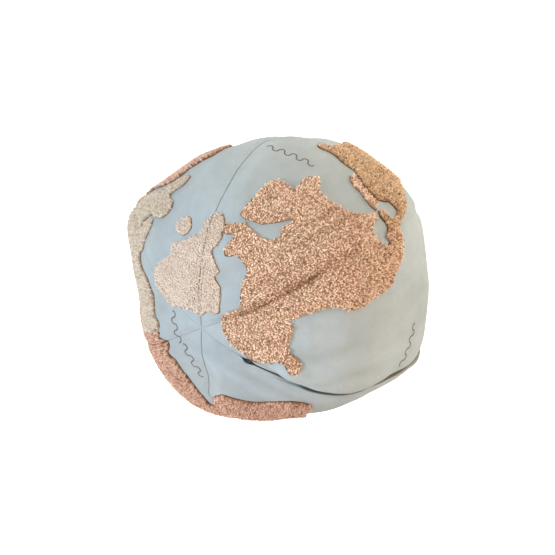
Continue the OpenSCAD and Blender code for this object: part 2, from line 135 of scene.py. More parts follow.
# Long soft folds: seam, distances east of it at two latitudes, those latitudes, width, height
FOLDS = [
    (1, (9 * MM, 8 * MM), (48, 66), 2.2 * MM, -1.3 * MM),
    (1, (25 * MM, 25 * MM), (40, 62), 3 * MM, -0.8 * MM),
    (1, (42 * MM, 43 * MM), (25, 44), 2.8 * MM, -1.3 * MM),
    (1, (59 * MM, 60 * MM), (24, 40), 2.8 * MM, -1.3 * MM),
    (0, (-31 * MM, -24 * MM), (44, 66), 7 * MM, -1.5 * MM),
    (0, (-48 * MM, -30 * MM), (42, 76), 8 * MM, 1.6 * MM),
    (0, (29 * MM, 7 * MM), (31, 48), 3.5 * MM, -1.4 * MM),
    (0, (20 * MM, 18 * MM), (16, 34), 5 * MM, 1.2 * MM),
    (0, (67 * MM, 34 * MM), (30, 52), 8 * MM, -1.5 * MM),
    (0, (48 * MM, 40 * MM), (8, 40), 10 * MM, 1.2 * MM),
    (2, (-18 * MM, -18 * MM), (10, 40), 8 * MM, 0.8 * MM),
    (5, (16 * MM, 16 * MM), (56, 78), 6 * MM, 1.0 * MM),
]

# Lumps and hollows of the filling: longitude, latitude, reach in degrees, height
LUMPS = [
    (32, 17, 11, 11.5 * MM),
    (12, 7, 12, -8.5 * MM),
    (-8, -8, 11, -8 * MM),
    (-18, 0, 13, -6 * MM),
    (67, 38, 17, -17 * MM),
    (95, 38, 12, -4 * MM),
    (122, 34, 12, 6 * MM),
    (149, 27, 15, -13 * MM),
    (171, 12, 16, -12.5 * MM),
    (-175, 24, 9, 3 * MM),
    (-153, -14, 12, 9 * MM),
    (-155, -25, 10, 5.5 * MM),
    (-131, -25, 15, 10.5 * MM),
    (-86, -33, 20, 7 * MM),
    (-60, -31, 12, 4.5 * MM),
    (-30, -18, 16, -13 * MM),
    (-143, 40, 22, 9 * MM),
]


def unit(v):
    """Vectors scaled to unit length."""
    return v / np.linalg.norm(v, axis=-1, keepdims=True)


def directions(lon, lat):
    """Unit vectors in the frame for longitudes and latitudes in degrees."""
    azimuth, lat = np.radians(np.asarray(lon, float) + LON_TO_AZIMUTH), np.radians(lat)
    flat = np.cos(lat)
    return np.stack([flat * np.cos(azimuth), flat * np.sin(azimuth), np.sin(lat) + 0 * azimuth], -1)


def lon_lat(d):
    """Longitudes and latitudes in degrees of unit vectors d."""
    lon = np.degrees(np.arctan2(d[..., 1], d[..., 0])) - LON_TO_AZIMUTH
    return (lon + 180) % 360 - 180, np.degrees(np.arcsin(np.clip(d[..., 2], -1, 1)))


def level_axes(up):
    """Unit vectors east and north along the ball at unit vectors up."""
    east = unit(np.cross([0, 0, 1.0], up))
    return east, np.cross(up, east)


def wander(points, wavelength, seed, waves=14):
    """Smooth noise of about unit size: plane waves near one wavelength, in seeded directions."""
    rng = np.random.default_rng(seed)
    ways = unit(rng.normal(size=(waves, 3)))
    ways *= 2 * math.pi / wavelength * rng.uniform(0.7, 1.3, (waves, 1))
    phases = rng.uniform(0, 2 * math.pi, waves)
    return np.sin(points @ ways.T + phases).sum(-1) * math.sqrt(2 / waves)


def hump(x, width):
    """1 at zero, falling smoothly to nothing within about two widths."""
    return np.exp(-(x / width) ** 2)


def ramp(x, low, high):
    """0 below low, 1 above high, and smooth between them."""
    t = np.clip((x - low) / (high - low), 0, 1)
    return t * t * (3 - 2 * t)


def slit_open(lat):
    """1 along the zipped slit and 0 past its ends."""
    low, high = SLIT_LATS
    return ramp(lat, low - 3, low + 1) * (1 - ramp(lat, high - 1.5, high + 1))


def seam_lon(seam, lat):
    """A seam's longitude. Seams are numbered eastward, and seam 0 is the zipped one."""
    nominal = ZIP_LON + GORE_DEG * seam
    sway = SEAM_SWAY.get(seam % GORES)
    return nominal + (np.interp(lat, *zip(*sway)) if sway else 0 * lat)


def parallel_r(lat):
    """Radius of the ball's parallel at a latitude."""
    return BALL_R * np.cos(np.radians(lat))


def east_of(seam, lon, lat):
    """Signed distance east of a seam, or FAR_SIDE on the far half of the ball."""
    apart = np.radians((lon - seam_lon(seam, lat) + 180) % 360 - 180)
    return np.where(np.abs(apart) < math.pi / 2, parallel_r(lat) * np.sin(apart), FAR_SIDE)


def off_seams(lon, lat):
    """Distance from the nearest seam."""
    return np.min([np.abs(east_of(seam, lon, lat)) for seam in range(GORES)], axis=0)


def along_span(lat, low, high, fade):
    """1 between two latitudes, fading to 0 beyond them."""
    return ramp(lat, low - fade, low) * (1 - ramp(lat, high, high + fade))


def lips_high(lat):
    """How far the slit's lips have risen: 1 along it, and 0 near its ends."""
    return along_span(lat, SLIT_LATS[0] + 8, 54, 9)


def fold_height(lon, lat):
    """Height of the long soft folds."""
    rise = 0 * lon
    for seam, east, span, width, height in FOLDS:
        fold = hump(east_of(seam, lon, lat) - np.interp(lat, span, east), width)
        rise = rise + height * (fold * along_span(lat, *span, 8))
    return rise


def skin_radius(d):
    """The canvas's distance from the ball's centre along unit vectors d."""
    lon, lat = lon_lat(d)
    phase = ((lon - ZIP_LON) % GORE_DEG) / GORE_DEG
    r = BALL_R - GORE_FLAT * np.sin(math.pi * phase) ** 2 * np.cos(np.radians(lat))
    for lump_lon, lump_lat, reach, height in LUMPS:
        apart = np.degrees(np.arccos(np.clip(d @ directions(lump_lon, lump_lat), -1, 1)))
        r = r + height * hump(apart, reach)
    for height, wavelength, seed in UNEVEN:
        r = r + height * wander(d * BALL_R, wavelength, seed)
    r = r + fold_height(lon, lat)
    off_seam = off_seams(lon, lat)
    r = r - SEAM_DIP * hump(off_seam, SEAM_DIP_WIDTH) - SEAM_HOLLOW * hump(off_seam, SEAM_HOLLOW_WIDTH)
    east = east_of(1, lon, lat)
    slope = np.where(east > 0, CREASE_EAST, CREASE_WEST)
    crease = RIDGE * hump(east - RIDGE_EAST, RIDGE_WIDTH) - CREASE * hump(east, slope)
    r = r + crease * along_span(lat, *CREASE_LATS, 16)
    r = r - POLE_DIP * hump(90 - np.abs(lat), POLE_DIP_REACH)
    # The zip holds its seam near the ball's own radius, and both lips puff up beside it
    east = east_of(0, lon, lat)
    puff = np.where(east > 0, np.interp(lat, LIP_LATS, EAST_LIP), np.interp(lat, LIP_LATS, WEST_LIP))
    puff = puff * hump(np.abs(east) - LIP_CREST, LIP_WIDTH) * lips_high(lat)
    free = ramp(np.abs(east), TAB_ROOM, TAB_ROOM + LIP_WALL)
    lipped = (BALL_R + ZIP_LIFT) * (1 - free) + (r + puff) * free
    r = r + (lipped - r) * slit_open(lat) * (np.abs(east) < FAR_SIDE)
    # The floor flattens the base
    down = np.maximum(-d[..., 2], 1e-6)
    return np.minimum(r, CENTRE[2] / down)


def on_skin(d, above=0.0):
    """Points on the canvas, or above it, along unit vectors d."""
    return CENTRE + d * (skin_radius(d) + above)[..., None]


# ---- mesh making ---------------------------------------------------------------------------------

WELD = 0.02 * MM                        # points nearer than this are one point


def into_scene(piece):
    bpy.context.scene.collection.objects.link(piece)
    return piece


def mesh_object(name, points, quads):
    """A smooth-shaded object of four-sided faces, linked to the scene."""
    mesh = bpy.data.meshes.new(name)
    points = np.asarray(points, np.float32).reshape(-1, 3)
    quads = np.asarray(quads, np.int32).reshape(-1, 4)
    mesh.vertices.add(len(points))
    mesh.vertices.foreach_set("co", points.ravel())
    mesh.loops.add(quads.size)
    mesh.loops.foreach_set("vertex_index", quads.ravel())
    mesh.polygons.add(len(quads))
    mesh.polygons.foreach_set("loop_start", np.arange(0, quads.size, 4, dtype=np.int32))
    mesh.polygons.foreach_set("loop_total", np.full(len(quads), 4, np.int32))
    mesh.polygons.foreach_set("use_smooth", np.ones(len(quads), bool))
    mesh.update(calc_edges=True)
    return into_scene(bpy.data.objects.new(name, mesh))


def grid_quads(rows, columns):
    """Faces of a rows by columns grid of points, stored row by row."""
    i, j = np.meshgrid(np.arange(rows - 1), np.arange(columns - 1), indexing="ij")
    a = (i * columns + j).ravel()
    return np.stack([a, a + columns, a + columns + 1, a + 1], -1)


def weld(piece):
    """Joins points that coincide, as a gore's rows do at the poles, and drops flat faces."""
    mesh = bmesh.new()
    mesh.from_mesh(piece.data)
    bmesh.ops.remove_doubles(mesh, verts=mesh.verts, dist=WELD)
    bmesh.ops.dissolve_degenerate(mesh, edges=mesh.edges, dist=WELD)
    mesh.to_mesh(piece.data)
    mesh.free()


def tint_points(piece, tints, powers):
    """Stores a brightness factor per vertex, which the canvas and pile materials read: painted shade,
    and random tone.

    Red, green and blue each take it to a power of their own, so that painted shade leans to brown.
    """
    layer = piece.data.color_attributes.new("tint", "FLOAT_COLOR", "POINT")
    rgba = np.ones((len(tints), 4), np.float32)
    rgba[:, :3] = np.asarray(tints, np.float32)[:, None] ** np.array(powers, np.float32)
    layer.data.foreach_set("color", rgba.ravel())


def tubes(name, paths, across, radius, sides):
    """Round tubes along paths (tubes, points, 3). No path may run along its own vector in across."""
    count, steps, _ = paths.shape
    ahead = np.gradient(paths, axis=1)
    ahead /= np.linalg.norm(ahead, axis=-1, keepdims=True) + 1e-12
    side = np.repeat(across[:, None, :], steps, 1)
    side = side - (side * ahead).sum(-1, keepdims=True) * ahead
    side /= np.linalg.norm(side, axis=-1, keepdims=True) + 1e-12
    other = np.cross(ahead, side)
    angle = (np.arange(sides) / sides * 2 * math.pi)[:, None]
    ring = np.cos(angle) * side[:, :, None, :] + np.sin(angle) * other[:, :, None, :]
    radius = np.broadcast_to(np.asarray(radius, float), (count, steps))
    points = paths[:, :, None, :] + ring * radius[:, :, None, None]
    n, s, k = np.meshgrid(np.arange(count), np.arange(steps - 1), np.arange(sides), indexing="ij")
    base = (n * steps + s) * sides
    near, far = base + k, base + (k + 1) % sides
    quads = np.stack([near, far, far + sides, near + sides], -1)
    return mesh_object(name, points, quads)


# ---- materials -----------------------------------------------------------------------------------

class Nodes:
    """A short way to build a node tree for one material."""

    def __init__(self, name, roughness, specular, metallic=0.0, sheen=0.0):
        self.material = bpy.data.materials.new(name)
        self.material.use_nodes = True
        self.tree = self.material.node_tree
        self.shader = self.tree.nodes["Principled BSDF"]
        self.shader.inputs["Roughness"].default_value = roughness
        self.shader.inputs["Metallic"].default_value = metallic
        self.shader.inputs["Specular IOR Level"].default_value = specular
        self.shader.inputs["Sheen Weight"].default_value = sheen
        self.shader.inputs["Sheen Roughness"].default_value = 0.5

    def add(self, kind, **values):
        """A new node with its properties or its inputs set by name."""
        node = self.tree.nodes.new(kind)
        for key, value in values.items():
            if hasattr(node, key):
                setattr(node, key, value)
            else:
                node.inputs[key.replace("_", " ")].default_value = value
        return node

    def link(self, out, into):
        self.tree.links.new(out, into)

    def feed(self, sockets, values):
        """Sets each socket to a number or a colour, or links it to another node's output."""
        for socket, value in zip(sockets, values):
            if isinstance(value, (int, float)):
                socket.default_value = value
            elif isinstance(value, tuple):
                socket.default_value = (*value, 1)
            else:
                self.link(value, socket)

    def math(self, operation, *values):
        node = self.add("ShaderNodeMath", operation=operation)
        self.feed(node.inputs, values)
        return node.outputs[0]

    def noise(self, scale, detail, roughness=0.55):
        """Noise in the object's own space: scale is in features per metre."""
        node = self.add("ShaderNodeTexNoise", Scale=scale, Detail=detail, Roughness=roughness)
        self.link(self.add("ShaderNodeTexCoord").outputs["Object"], node.inputs["Vector"])
        return node.outputs["Fac"]

    def tint(self, colour):
        """The colour times the stored per-vertex brightness, which holds painted shade and random tone.
        """
        stored = self.add("ShaderNodeVertexColor", layer_name="tint").outputs["Color"]
        return self.mix(1.0, colour, stored, "MULTIPLY")

    def colours(self, factor, *stops):
        """A colour ramp with two stops, each a position and a colour."""
        node = self.add("ShaderNodeValToRGB")
        for element, (position, colour) in zip(node.color_ramp.elements, stops):
            element.position = position
            element.color = (*colour, 1)
        self.link(factor, node.inputs[0])
        return node.outputs["Color"]

    def mix(self, factor, a, b, blend="MIX"):
        """Mixes two colours. A mix node's inputs 6 and 7 and its output 2 are the colour ones."""
        node = self.add("ShaderNodeMix", data_type="RGBA", blend_type=blend)
        self.feed((node.inputs[0], node.inputs[6], node.inputs[7]), (factor, a, b))
        return node.outputs[2]

    def bump(self, height, strength, distance):
        node = self.add("ShaderNodeBump", Strength=strength, Distance=distance)
        self.link(height, node.inputs["Height"])
        return node.outputs["Normal"]

    def finish(self, colour, normal=None):
        """The material, with its shader linked."""
        self.link(colour, self.shader.inputs["Base Color"])
        if normal is not None:
            self.link(normal, self.shader.inputs["Normal"])
        return self.material


def srgb(red, green, blue):
    """A colour given in 0 to 255 display values, as linear light."""
    return tuple(c / 12.92 if c <= 0.04045 else ((c + 0.055) / 1.055) ** 2.4
                 for c in (red / 255, green / 255, blue / 255))


def weave_height(nodes, pitch):
    """Plain weave on the UV map, which is in metres: each thread goes over, then under."""
    uv = nodes.add("ShaderNodeTexCoord").outputs["UV"]
    parts = nodes.add("ShaderNodeSeparateXYZ")
    nodes.link(uv, parts.inputs[0])
    x = nodes.math("MULTIPLY", parts.outputs[0], math.pi / pitch)
    y = nodes.math("MULTIPLY", parts.outputs[1], math.pi / pitch)
    warp = nodes.math("ABSOLUTE", nodes.math("SINE", x))
    weft = nodes.math("ABSOLUTE", nodes.math("SINE", y))
    over = nodes.math("MULTIPLY", nodes.math("SINE", x), nodes.math("SINE", y))
    lift = nodes.math("MULTIPLY", nodes.math("SIGN", over), nodes.math("SUBTRACT", warp, weft))
    return nodes.math("ADD", nodes.math("MULTIPLY", lift, 0.25), nodes.math("MULTIPLY", over, over))


def woven(name, light, dark, pitch, tinted=False):
    """Plain cloth with uneven threads, a soft cloudy colour and fine mottling, and where asked the
    stored painted shade.
    """
    nodes = Nodes(name, 0.95, sheen=0.15, specular=0.15)
    weave = weave_height(nodes, pitch)
    slubs = nodes.noise(260, 3)
    cloud = nodes.noise(11, 4)
    colour = nodes.colours(cloud, (0.35, dark), (0.65, light))
    mottle = nodes.noise(95, 5, 0.65)
    colour = nodes.mix(nodes.math("MULTIPLY", slubs, 0.3), colour, dark, "MULTIPLY")
    colour = nodes.mix(nodes.math("MULTIPLY", mottle, 0.2), colour, dark, "MULTIPLY")
    if tinted:
        colour = nodes.tint(colour)
    normal = nodes.bump(nodes.math("ADD", weave, nodes.math("MULTIPLY", slubs, 2.2)), 0.6, 0.4 * MM)
    return nodes.finish(colour, normal)


def looped_pile(name, light, dark):
    """Cotton yarn: its colour wanders over the patch and from loop to loop, with painted shade in pits
    and creases, and fine fibres.
    """
    nodes = Nodes(name, 1.0, sheen=0.25, specular=0.1)
    cloud = nodes.noise(22, 4)
    colour = nodes.tint(nodes.colours(cloud, (0.3, dark), (0.7, light)))
    fibres = nodes.noise(1400, 4, 0.7)
    return nodes.finish(colour, nodes.bump(fibres, 0.5, 0.3 * MM))


def thread(name, colour):
    nodes = Nodes(name, 0.6, sheen=0.3, specular=0.35)
    twist = nodes.noise(2200, 2)
    shade = nodes.mix(nodes.math("MULTIPLY", twist, 0.5), colour, (0.02, 0.015, 0.012))
    return nodes.finish(shade, nodes.bump(twist, 0.4, 0.15 * MM))


def metal(name, colour):
    nodes = Nodes(name, 0.32, metallic=1.0, specular=0.5)
    wear = nodes.noise(380, 5)
    shade = nodes.colours(wear, (0.35, tuple(0.72 * c for c in colour)), (0.62, colour))
    return nodes.finish(shade, nodes.bump(wear, 0.12, 0.05 * MM))


def nylon(name, colour):
    nodes = Nodes(name, 0.42, specular=0.45)
    grain = nodes.noise(900, 3)
    shade = nodes.mix(nodes.math("MULTIPLY", grain, 0.4), colour, tuple(0.6 * c for c in colour))
    return nodes.finish(shade, nodes.bump(grain, 0.2, 0.05 * MM))


def wadding(name, colour):
    nodes = Nodes(name, 1.0, sheen=0.4, specular=0.1)
    fluff = nodes.noise(140, 8, 0.7)
    shade = nodes.colours(fluff, (0.3, tuple(0.8 * c for c in colour)), (0.7, colour))
    return nodes.finish(shade, nodes.bump(fluff, 0.8, 4 * MM))


def lit_floor(name, colour):
    """A white sweep lit from below, so that shadows on it stay faint."""
    nodes = Nodes(name, 0.9, specular=0.1)
    nodes.shader.inputs["Emission Color"].default_value = (1.0, 0.93, 0.8, 1)
    nodes.shader.inputs["Emission Strength"].default_value = 0.84
    grain = nodes.noise(30, 4)
    return nodes.finish(nodes.colours(grain, (0.4, tuple(0.99 * c for c in colour)), (0.6, colour)))


CANVAS = woven("canvas", srgb(202, 209, 212), srgb(189, 196, 199), 0.75 * MM, tinted=True)
CALICO = woven("calico", srgb(232, 226, 212), srgb(222, 215, 199), 0.5 * MM)
TAPE = woven("zip_tape_weave", srgb(92, 99, 103), srgb(78, 85, 90), 0.4 * MM)
COIL = nylon("zip_coil_nylon", srgb(70, 76, 80))
NICKEL = metal("nickel_plate", srgb(176, 172, 164))
FIBRE = wadding("polyester_fibre", srgb(240, 238, 233))
THREAD = thread("embroidery_thread", srgb(142, 130, 120))
PILES = {
    "america": looped_pile("america_yarn", srgb(253, 221, 194), srgb(245, 207, 178)),
    "south": looped_pile("south_america_yarn", srgb(234, 203, 170), srgb(223, 188, 152)),
    "cream": looped_pile("cream_yarn", srgb(235, 215, 199), srgb(227, 206, 189)),
    "europe": looped_pile("europe_yarn", srgb(228, 209, 189), srgb(219, 199, 179)),
    "africa": looped_pile("africa_yarn", srgb(238, 199, 175), srgb(225, 182, 156)),
    "asia": looped_pile("asia_yarn", srgb(228, 184, 159), srgb(218, 169, 143)),
    "oceania": looped_pile("oceania_yarn", srgb(242, 214, 186), srgb(232, 200, 168)),
}
PATCHES = {
    "america": ["north_america_west", "north_america_east", "caribbean"],
    "south": ["south_america"],
    "cream": ["greenland_west", "greenland_east", "greenland_tip", "iceland"],
    "europe": ["western_europe", "scandinavia", "eastern_europe"],
    "africa": ["africa_west", "africa_east", "madagascar"],
    "asia": ["western_asia", "central_asia", "far_east", "japan"],
    "oceania": ["sumatra", "borneo", "new_guinea", "australia_west", "australia_east", "new_zealand"],
}

# ---- the cover -----------------------------------------------------------------------------------

GORE_ROWS = 300
GORE_COLUMNS = 88
EDGE_CROWDING = 0.8                     # how far a gore's columns crowd toward its edges
WIDEST_SINE = 0.49                      # an edge may take no more than this share of its parallel
FOLD_FLAP = 7 * MM                      # how far the folded cloth reaches under a gore
FOLD_TURNS = (None, 180, 140, 100, 60, 30)      # degrees round the fold; None is the flap's own edge
# Painted shade on a gore's folded edge, from the flap under it to its top, so that each seam shows dark
FOLD_EDGE_SHADE_PAINT = (0.3, 0.25, 0.25, 0.3, 0.5, 0.85)
CANVAS_SHADE = (0.85, 1.0, 1.2)         # powers for red, green and blue where shade is painted on the canvas
FOLD_SHADE_PAINT = 0.05                        # painted light and shade: how much a millimetre of fold lightens the canvas, or darkens it in a hollow
MOTTLES = [                             # strength, wavelength and seed of the canvas's mottling
    (0.018, 0.05, 21),
    (0.012, 0.018, 22),
]
# Painted shade on the inner side of each lip: latitudes, and how far it reaches from the seam there, in
# mm
EAST_SLIT_SHADE = ((-34, -20, 46, 58), (1.6, 4.2, 4.2, 1.6))
WEST_SLIT_SHADE = ((-34, -24, 4, 16, 46, 58), (1.6, 4.6, 4.3, 5.2, 4.6, 1.6))
SLIT_SHADE_EDGE = 0.9 * MM                    # width over which it lightens
SLIT_SHADE_DEPTH = 0.78                       # share of the light that this painted shade takes away


def seam_gap(seam, lat):
    """Half the gap between two gores: only the zipped seam stands open."""
    if seam % GORES:
        return 0 * lat
    wedge = SLIT_WEDGE * hump(lat - SLIT_WEDGE_LAT, SLIT_WEDGE_REACH)
    return slit_open(lat) * (SLIT_GAP * (1 - 0.5 * ramp(lat, *SLIT_NARROWS)) + wedge)


def pulled_flat(seam, lat):
    """1 where a seam is pulled so flat that it hardly shows."""
    shares = PULLED_FLAT.get(seam % GORES)
    return np.interp(lat, *shares) if shares else 0 * lat


def edge_roll(seam, lat):
    """Radius of a gore's rolled edge."""
    return np.minimum(EDGE_ROLL * (1 - 0.6 * pulled_flat(seam, lat)), 0.2 * parallel_r(lat))


def degrees_out(out, lat):
    """Distances from a seam, as degrees of longitude."""
    sine = out / np.maximum(parallel_r(lat), 1e-6)
    return np.degrees(np.arcsin(np.clip(sine, 0, WIDEST_SINE)))


def rolled_edge(lat, seam, side):
    """Columns of points round one folded edge, from under the gore up to its top surface."""
    gap, roll = seam_gap(seam, lat), edge_roll(seam, lat)
    columns = []
    for turn in FOLD_TURNS:
        if turn is None:
            out, drop = gap + np.minimum(FOLD_FLAP, 0.3 * parallel_r(lat)), 2.2 * roll
        else:
            angle = math.radians(turn)
            out, drop = gap + roll * (1 - math.sin(angle)), roll * (1 - math.cos(angle))
        lon = seam_lon(seam, lat) + side * degrees_out(out, lat)
        columns.append(on_skin(directions(lon, lat), -drop))
    return columns


def canvas_tints(points, lat, first, last):
    """Brightness of a gore's points: painted shade in its folds and slit, painted light on fold ridges,
    and mottling.
    """
    tints = np.ones(points.shape[:2])
    # Painted shade on the folded edges at both seams
    fold = 1 - np.array(FOLD_EDGE_SHADE_PAINT)
    tints[:, :len(fold)] -= fold * (1 - 0.8 * pulled_flat(first, lat))[:, None]
    tints[:, -len(fold):] -= fold[::-1] * (1 - 0.8 * pulled_flat(last, lat))[:, None]
    off_centre = points - CENTRE
    where = lon_lat(unit(off_centre))
    east = east_of(0, *where)
    edge = np.where(east > 0, np.interp(where[1], *EAST_SLIT_SHADE), np.interp(where[1], *WEST_SLIT_SHADE)) * MM
    # Painted shade inside the slit, where the lips keep the light out
    inside = 1 - ramp(np.abs(east), edge, edge + SLIT_SHADE_EDGE)
    tints *= 1 - SLIT_SHADE_DEPTH * inside * lips_high(where[1])
    upright = off_centre * (1, 1, 0.35)
    tints *= 1 + sum(strength * wander(upright, wavelength, seed)
                     for strength, wavelength, seed in MOTTLES)
    # Painted light on the soft folds' ridges and painted shade in their hollows
    return tints * (1 + FOLD_SHADE_PAINT * np.clip(fold_height(*where) / MM, -1.5, 1.5))


def canvas_gore(number):
    """One gore of the cover, between two seams, with an edge folded under along each."""
    first, last = number - 1, number
    lat = 90 - 180 * np.arange(GORE_ROWS + 1) / GORE_ROWS
    starts = [degrees_out(seam_gap(seam, lat) + edge_roll(seam, lat), lat) for seam in (first, last)]
    across = np.linspace(0, 1, GORE_COLUMNS + 1)
    across = across - EDGE_CROWDING / (2 * math.pi) * np.sin(2 * math.pi * across)
    low = seam_lon(first, lat) + starts[0]
    high = seam_lon(last, lat) - starts[1]
    lon = low[:, None] + (high - low)[:, None] * across
    body = on_skin(directions(lon, lat[:, None] + 0 * lon))
    points = np.concatenate([np.stack(rolled_edge(lat, first, 1), 1), body,
                             np.stack(rolled_edge(lat, last, -1)[::-1], 1)], 1)
    points[..., 2] = np.maximum(points[..., 2], 0)
    piece = mesh_object(f"canvas_gore_{number}", points, grid_quads(*points.shape[:2]))
    lay_uv(piece, points, number)
    tint_points(piece, canvas_tints(points, lat, first, last).ravel(), CANVAS_SHADE)
    piece.data.materials.append(CANVAS)
    weld(piece)
    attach(piece, "cover")
    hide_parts(f"cover_gore_{number}")


def lay_uv(piece, points, number):
    """UVs in metres: along the parallel from the gore's middle, and along the meridian."""
    lon, lat = lon_lat(unit(points - CENTRE).reshape(-1, 3))
    middle = ZIP_LON + GORE_DEG * (number - 0.5)
    x = parallel_r(lat) * np.radians((lon - middle + 180) % 360 - 180)
    y = BALL_R * np.radians(lat)
    uv = np.stack([x, y], -1)
    indices = np.empty(len(piece.data.loops), np.int32)
    piece.data.loops.foreach_get("vertex_index", indices)
    layer = piece.data.uv_layers.new(name="cut")
    layer.data.foreach_set("uv", uv[indices].astype(np.float32).ravel())


# ---- the land ------------------------------------------------------------------------------------

ROW_PITCH = 2.5 * MM                    # between rows of loops, and between loops in a row
ROWS = 48                               # enough to reach the middle of the widest gore
LOOP_STEPS = 5
LOOP_SIDES = 4
YARN_R = 0.85 * MM
HALF_SPANS = (0.4, 1.15)                # smallest and largest half width of a loop, in mm
LOOP_HEIGHTS = (2.1, 3.9)               # smallest and largest, in mm
LOOP_ROOT = 1.2 * MM                    # height above the canvas at which the loops begin
LOOP_TUCK = 0.15                        # how far a loop's ends turn in past its root, in radians
LEAN = 0.5                              # most lean to one side, as a share of the height
CURL = 0.7                              # most sideways curl, in mm
LOOP_STRAY = 0.7 * MM                   # how far the loops at a coast stray over it
MAT_EDGE = 1.6 * MM                     # longest edge of the dense foot near a seam
MAT_EDGE_AWAY = 7 * MM                  # and away from it
PLAIN_PILE = (1.8 * MM, 0.95)           # height of the dense foot, and how much painted shade darkens the pits
PILE_LOOKS = {                          # the same, where a family of patches differs
    "america": (2.0 * MM, 1.0),
    "south": (1.8 * MM, 0.95),
    "cream": (2.5 * MM, 0.2),
    "europe": (2.3 * MM, 0.5),
}
SEAM_TRENCH = 0.9 * MM                  # half the width of the line that a seam leaves in the pile
COAST_SHADOW_FLARE = 0.9 * MM                  # how far the foot of a patch, painted dark as the pile's shadow, shows past its coast
TAB_CLEARANCE = 3.5 * MM                # how far the loops' roots keep off the pull tab's room
PILE_SEED = 11
PILE_SHADE = (0.85, 1.15, 1.45)         # powers for red, green and blue where shade is painted on the pile
PILE_FOLD_SHADE_PAINT = 0.16                   # painted light and shade: how much a millimetre of fold lightens the pile, or darkens it in a hollow
# The long crease's painted shade: depth, distance east of seam 1, width, two latitudes, fade in degrees
CREASE_SHADES = [
    (0.48, 1.5 * MM, 3 * MM, 46, 71, 7),
    (0.22, 1 * MM, 4 * MM, 25, 44, 6),
]


def cad_mesh(node):
    """Points and faces of a CAD node."""
    mesh = frame["nodes"][node].data
    points = np.empty(len(mesh.vertices) * 3, np.float32)
    mesh.vertices.foreach_get("co", points)
    return points.reshape(-1, 3), [tuple(polygon.vertices) for polygon in mesh.polygons]


def rows_of_loops():
    """Directions of all the places for a loop, in rows that run beside each gore's two seams."""
    rng = np.random.default_rng(PILE_SEED)
    step = math.degrees(ROW_PITCH / BALL_R)
    found = []
    for seam in range(GORES):
        for side in (-1, 1):
            for row in range(ROWS):
                along = np.arange(-90, 90, step) + (row % 2) * step / 2
                count = len(along)
                along = np.radians(along + rng.normal(size=count) * step * 0.17)
                trench = SEAM_TRENCH * trench_share(seam, np.degrees(along))
                stray = rng.normal(size=count) * 0.12 * ROW_PITCH
                out = (trench + YARN_R + row * ROW_PITCH + stray) / BALL_R
                flat = np.sqrt(1 - out ** 2)
                apart = np.degrees(np.arctan2(out, flat * np.cos(along)))
                lat = np.degrees(np.arcsin(flat * np.sin(along)))
                lon = seam_lon(seam, lat)
                keep = apart < np.abs(seam_lon(seam + side, lat) - lon) / 2
                found.append(directions(lon + side * apart, lat)[keep])
    return np.concatenate(found)


def trench_share(seam, lat):
    """How open a seam's trench is: the loops close over the seam that crosses North America."""
    return 0 * lat if seam % GORES == 1 else 1 + 0 * lat


def crease_shade(lon, lat):
    """Brightness of the pile: painted shade in the crease and in folds' hollows, a little painted light
    on their ridges.
    """
    east = east_of(1, lon, lat)
    shade = 1
    for depth, middle, width, south, north, fade in CREASE_SHADES:
        shade = shade - depth * hump(east - middle, width) * along_span(lat, south, north, fade)
    return shade * (1 + PILE_FOLD_SHADE_PAINT * np.clip(fold_height(lon, lat) / MM, -1.5, 0.5))


def coast_ways(mesh, d):
    """Unit vectors out over the coast at the vertices on a patch's side, and zeros elsewhere."""
    mesh.normal_update()
    ways = np.zeros_like(d)
    for number, (vertex, up) in enumerate(zip(mesh.verts, d.tolist())):
        way = Vector((0, 0, 0))
        for face in vertex.link_faces:
            if abs(face.normal.dot(Vector(up))) < 0.4:
                way += face.normal
        if way.length > 0.1:
            ways[number] = way.normalized()
    return ways


def patch_mesh(patch):
    """The CAD patch, divided finely enough to follow the canvas and the seams' trenches."""
    points, faces = cad_mesh(f"{patch}_pile")
    mesh = bmesh.new()
    corners = [mesh.verts.new(p) for p in points.tolist()]
    for face in faces:
        mesh.faces.new([corners[i] for i in face])
    bmesh.ops.remove_doubles(mesh, verts=mesh.verts, dist=WELD)
    for _ in range(6):
        middles = np.array([((edge.verts[0].co + edge.verts[1].co) / 2)[:] for edge in mesh.edges])
        lengths = np.array([edge.calc_length() for edge in mesh.edges])
        by_seam = off_seams(*lon_lat(unit(middles - CENTRE))) < lengths / 2 + 3 * MM
        limit = np.where(by_seam, MAT_EDGE, MAT_EDGE_AWAY)
        long_edges = [edge for edge, cut in zip(mesh.edges, lengths > limit) if cut]
        if not long_edges:
            break
        bmesh.ops.subdivide_edges(mesh, edges=long_edges, cuts=1)
        bmesh.ops.triangulate(mesh, faces=[face for face in mesh.faces if len(face.verts) > 3])
    bmesh.ops.recalc_face_normals(mesh, faces=mesh.faces)
    return mesh


